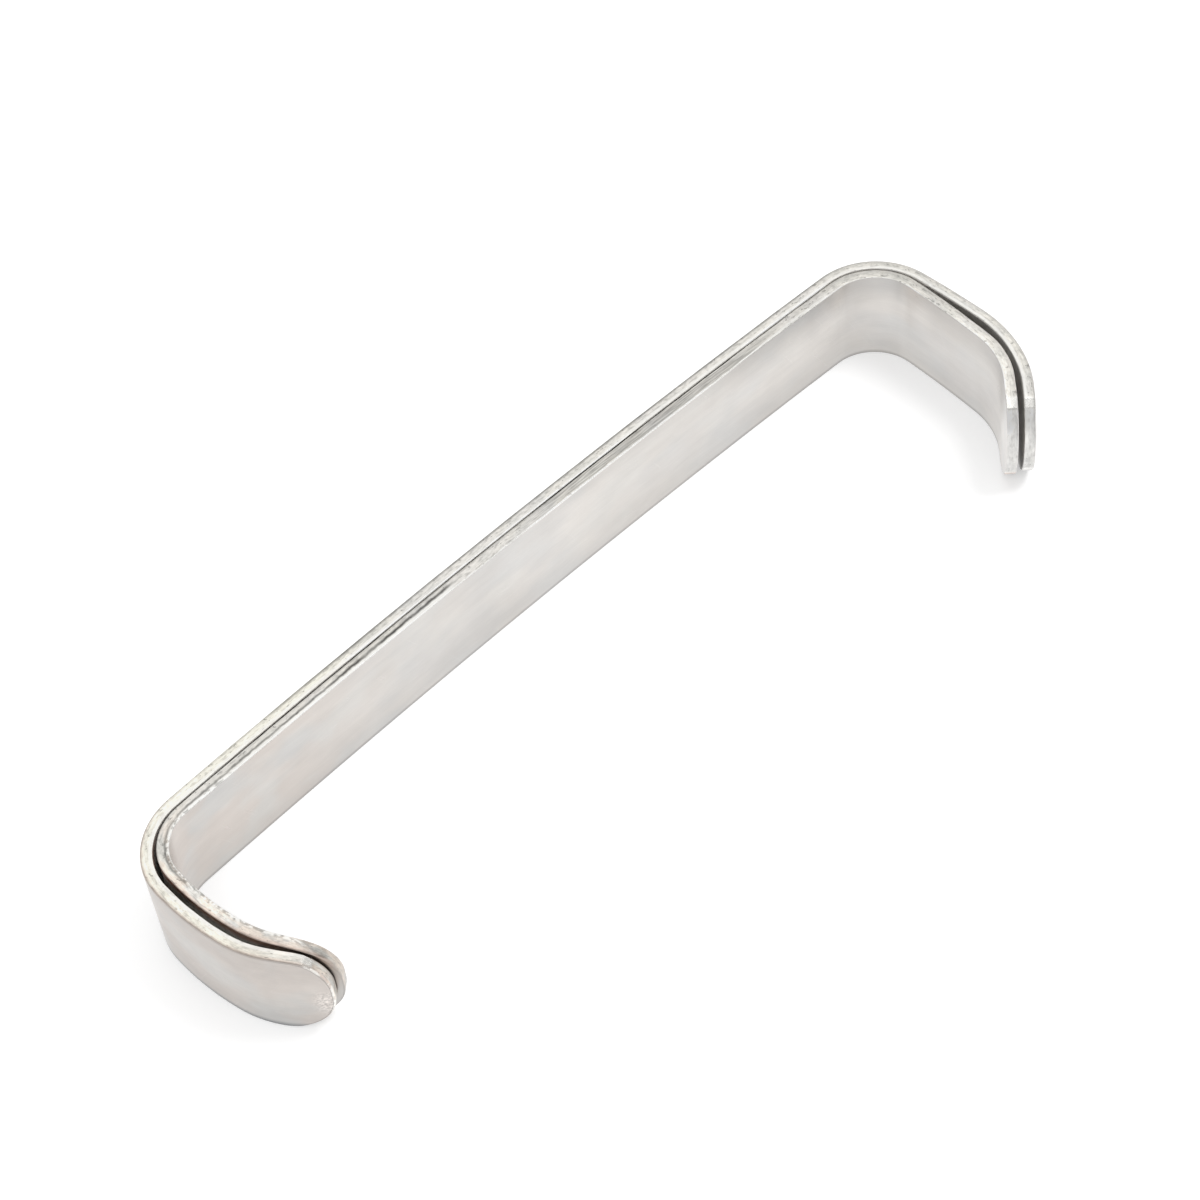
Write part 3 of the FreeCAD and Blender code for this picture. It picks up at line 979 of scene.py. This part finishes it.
def floor_material():
    """A pale floor that keeps shadows, lifted to white for the camera and for reflections, which show
    only a part of its shading."""
    material = bpy.data.materials.new("floor")
    material.use_nodes = True
    tree = material.node_tree
    tree.nodes.clear()
    output = add_node(tree, "ShaderNodeOutputMaterial")
    add = add_node(tree, "ShaderNodeAddShader")
    shade = add_node(tree, "ShaderNodeMixShader")
    diffuse = add_node(tree, "ShaderNodeBsdfDiffuse")
    diffuse.inputs["Color"].default_value = (*FLOOR_COLOR, 1.0)
    lift = add_node(tree, "ShaderNodeEmission")
    path = add_node(tree, "ShaderNodeLightPath")
    seen = add_node(tree, "ShaderNodeMath", operation="MULTIPLY")
    seen.inputs[1].default_value = SEEN_LIFT
    mirrored = add_node(tree, "ShaderNodeMath", operation="MULTIPLY_ADD")
    mirrored.inputs[1].default_value = MIRRORED_LIFT
    weaker = add_node(tree, "ShaderNodeMath", operation="MULTIPLY")
    weaker.inputs[1].default_value = 1 - MIRRORED_SHADE
    for start, end in (
        (path.outputs["Is Camera Ray"], seen.inputs[0]),
        (path.outputs["Is Glossy Ray"], mirrored.inputs[0]),
        (path.outputs["Is Glossy Ray"], weaker.inputs[0]),
        (seen.outputs[0], mirrored.inputs[2]),
        (mirrored.outputs[0], lift.inputs["Strength"]),
        (weaker.outputs[0], shade.inputs[0]),
        (diffuse.outputs[0], shade.inputs[1]),
        (shade.outputs[0], add.inputs[0]),
        (lift.outputs[0], add.inputs[1]),
        (add.outputs[0], output.inputs["Surface"]),
    ):
        tree.links.new(start, end)
    return material


bpy.ops.mesh.primitive_plane_add(size=FLOOR_SIZE)
floor = bpy.context.object
floor.name = "floor"
floor.data.materials.append(floor_material())

# The studio: an even pale surround, a large soft lamp behind, one overhead, low strips in front and on
# the right, a lamp that draws the light line on the rounded edges, a key lamp on the right and a fill
# lamp on the left
WORLD_COLOR = (1.0, 1.0, 1.0)
WORLD_BRIGHTNESS = 0.60
LAMP_TARGET = Vector((0, -0.015, 0.008))
world = bpy.data.worlds.new("studio")
bpy.context.scene.world = world
world.use_nodes = True
surround = world.node_tree.nodes["Background"]
surround.inputs["Color"].default_value = (*WORLD_COLOR, 1.0)
surround.inputs["Strength"].default_value = WORLD_BRIGHTNESS


def soft_lamp(name, position, size, brightness, left_out=None):
    """A flat lamp that faces the object, placed and sized in metres. brightness is what a mirror shows
    of it. left_out is diffuse or glossy, for the kind of reflection that the lamp doesn't light."""
    data = bpy.data.lights.new(name, "AREA")
    data.shape = "RECTANGLE"
    data.size, data.size_y = size
    data.energy = brightness * math.pi * size[0] * size[1]
    lamp = bpy.data.objects.new(name, data)
    lamp.location = position
    lamp.rotation_euler = (LAMP_TARGET - lamp.location).to_track_quat("-Z", "Y").to_euler()
    if left_out:
        setattr(lamp, f"visible_{left_out}", False)
    bpy.context.scene.collection.objects.link(lamp)


soft_lamp("back_softbox", (0.37, 0.44, 0.69), (0.9, 0.9), 0.42)
soft_lamp("overhead_lamp", (0.0, -0.10, 0.95), (0.4, 0.4), 0.7)
soft_lamp("front_strip_lamp", (0.30, -0.75, 0.16), (0.9, 0.2), 0.8, "diffuse")
soft_lamp("side_strip_lamp", (0.85, 0.0, 0.34), (0.5, 0.25), 0.8, "diffuse")
soft_lamp("line_lamp", (0.40, -0.14, 0.86), (0.5, 0.5), 0.45, "diffuse")
soft_lamp("key_lamp", (0.40, -0.22, 0.84), (0.35, 0.35), 9.0, "glossy")
soft_lamp("fill_lamp", (-0.22, -0.12, 0.28), (0.2, 0.2), 2.6, "glossy")

# The camera, where the photograph was taken from: its direction, roll, target and distance, the side of
# the photograph and the focal length in its pixels, and the sensor's width in millimetres
AZIMUTH = math.radians(-40.5402)
ELEVATION = math.radians(50.3963)
ROLL = math.radians(-6.2443)
TARGET = Vector((1.8754, -14.4708, 8.0)) * MM
DISTANCE = 402.4324 * MM
IMAGE_SIDE = 1200
FOCAL_PIXELS = 2853.2442
SENSOR_WIDTH = 36.0

back = Vector(
    (math.sin(AZIMUTH) * math.cos(ELEVATION), -math.cos(AZIMUTH) * math.cos(ELEVATION), math.sin(ELEVATION))
)
level = Vector((math.cos(AZIMUTH), math.sin(AZIMUTH), 0))
upright = back.cross(level)
right = math.cos(ROLL) * level + math.sin(ROLL) * upright
up = math.cos(ROLL) * upright - math.sin(ROLL) * level
camera_data = bpy.data.cameras.new("camera")
camera_data.sensor_width = SENSOR_WIDTH
camera_data.lens = FOCAL_PIXELS / IMAGE_SIDE * SENSOR_WIDTH
camera = bpy.data.objects.new("camera", camera_data)
turn = Matrix((right, up, back)).transposed().to_4x4()
camera.matrix_world = Matrix.Translation(TARGET + back * DISTANCE) @ turn
bpy.context.scene.collection.objects.link(camera)
bpy.context.scene.camera = camera

bpy.context.scene.view_settings.view_transform = "Standard"
